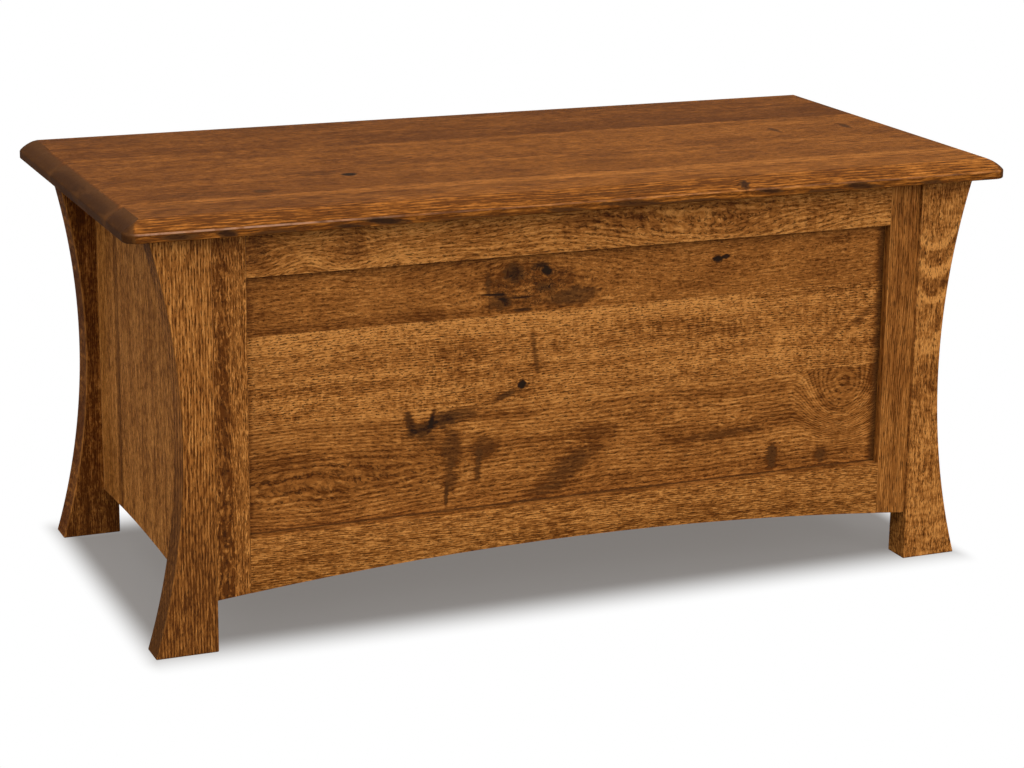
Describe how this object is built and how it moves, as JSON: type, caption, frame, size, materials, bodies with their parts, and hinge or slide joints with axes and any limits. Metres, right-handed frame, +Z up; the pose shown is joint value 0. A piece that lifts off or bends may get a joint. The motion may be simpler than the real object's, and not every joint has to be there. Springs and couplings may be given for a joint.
{
  "type": "blanket chest",
  "caption": "Oak blanket chest with hollow-curved legs, panelled front and back frames on a low arch, board sides and a hinged bevelled lid on soft-down stays.",
  "frame": {"origin": "floor level, under the centre of the lid's outline", "axes": "+X to the chest's right as seen from the front, +Y to the back where the hinges are, +Z up"},
  "size_m": [1.118, 0.54, 0.5185],
  "materials": {
    "leg_oak": "quarter-sawn and rift oak, golden-brown stain under satin lacquer",
    "frame_oak": "oak rails and stiles, golden-brown stain under satin lacquer",
    "panel_oak": "figured knotty oak boards, golden-brown stain under satin lacquer",
    "side_oak": "straight-grained oak boards, golden-brown stain under satin lacquer",
    "lid_oak": "oak boards, redder brown stain under satin lacquer",
    "inner_wood": "plain clear-finished wood of the bottom, cleats and battens",
    "hinge_brass": "aged brass",
    "stay_steel": "black powder coat",
    "pin_steel": "bright zinc-plated steel"
  },
  "bodies": {
    "case": {"front_right_leg": "leg_oak", "front_left_leg": "leg_oak", "back_right_leg": "leg_oak", "back_left_leg": "leg_oak", "front_right_stile": "frame_oak", "front_left_stile": "frame_oak", "back_right_stile": "frame_oak", "back_left_stile": "frame_oak", "front_top_rail": "frame_oak", "front_bottom_rail": "frame_oak", "back_top_rail": "frame_oak", "back_bottom_rail": "frame_oak", "front_panel_board_1": "panel_oak", "front_panel_board_2": "panel_oak", "front_panel_board_3": "panel_oak", "back_panel_board_1": "panel_oak", "back_panel_board_2": "panel_oak", "back_panel_board_3": "panel_oak", "right_side_board_1": "side_oak", "right_side_board_2": "side_oak", "right_side_board_3": "side_oak", "right_side_board_4": "side_oak", "left_side_board_1": "side_oak", "left_side_board_2": "side_oak", "left_side_board_3": "side_oak", "left_side_board_4": "side_oak", "bottom_panel": "inner_wood", "front_bottom_cleat": "inner_wood", "back_bottom_cleat": "inner_wood", "right_bottom_cleat": "inner_wood", "left_bottom_cleat": "inner_wood", "right_hinge_case_leaf": "hinge_brass", "left_hinge_case_leaf": "hinge_brass", "right_hinge_pin": "hinge_brass", "left_hinge_pin": "hinge_brass", "right_stay_case_plate": "stay_steel", "left_stay_case_plate": "stay_steel", "right_stay_case_pin": "pin_steel", "left_stay_case_pin": "pin_steel"},
    "lid": {"lid_board_1": "lid_oak", "lid_board_2": "lid_oak", "lid_board_3": "lid_oak", "lid_board_4": "lid_oak", "lid_board_5": "lid_oak", "right_lid_batten": "inner_wood", "left_lid_batten": "inner_wood", "right_hinge_lid_leaf": "hinge_brass", "left_hinge_lid_leaf": "hinge_brass", "right_stay_lid_bracket": "stay_steel", "left_stay_lid_bracket": "stay_steel", "right_stay_lid_pin": "pin_steel", "left_stay_lid_pin": "pin_steel"},
    "right_arm": {"right_stay_arm": "stay_steel", "right_stay_elbow_pin": "pin_steel"},
    "right_link": {"right_stay_link": "stay_steel"},
    "left_arm": {"left_stay_arm": "stay_steel", "left_stay_elbow_pin": "pin_steel"},
    "left_link": {"left_stay_link": "stay_steel"}
  },
  "joints": [
    {"name": "lid_hinge", "type": "hinge", "parent": "case", "child": "lid", "pos_m": [0, 0.252, 0.4907], "axis": [-1, 0, 0], "range_deg": [0, 85]},
    {"name": "right_arm_pivot", "type": "hinge", "parent": "case", "child": "right_arm", "pos_m": [0.439, 0.185, 0.4307], "axis": [-1, 0, 0], "range_deg": [0, 85]},
    {"name": "right_elbow", "type": "hinge", "parent": "right_arm", "child": "right_link", "pos_m": [0.4375, 0.02, 0.423], "axis": [-1, 0, 0], "range_deg": [-85, 0]},
    {"name": "left_arm_pivot", "type": "hinge", "parent": "case", "child": "left_arm", "pos_m": [-0.439, 0.185, 0.4307], "axis": [-1, 0, 0], "range_deg": [0, 85]},
    {"name": "left_elbow", "type": "hinge", "parent": "left_arm", "child": "left_link", "pos_m": [-0.4375, 0.02, 0.423], "axis": [-1, 0, 0], "range_deg": [-85, 0]}
  ],
  "couplings": [
    {"joint": "right_arm_pivot", "follows": "lid_hinge", "ratio": 1},
    {"joint": "right_elbow", "follows": "lid_hinge", "ratio": -1},
    {"joint": "left_arm_pivot", "follows": "lid_hinge", "ratio": 1},
    {"joint": "left_elbow", "follows": "lid_hinge", "ratio": -1}
  ]
}
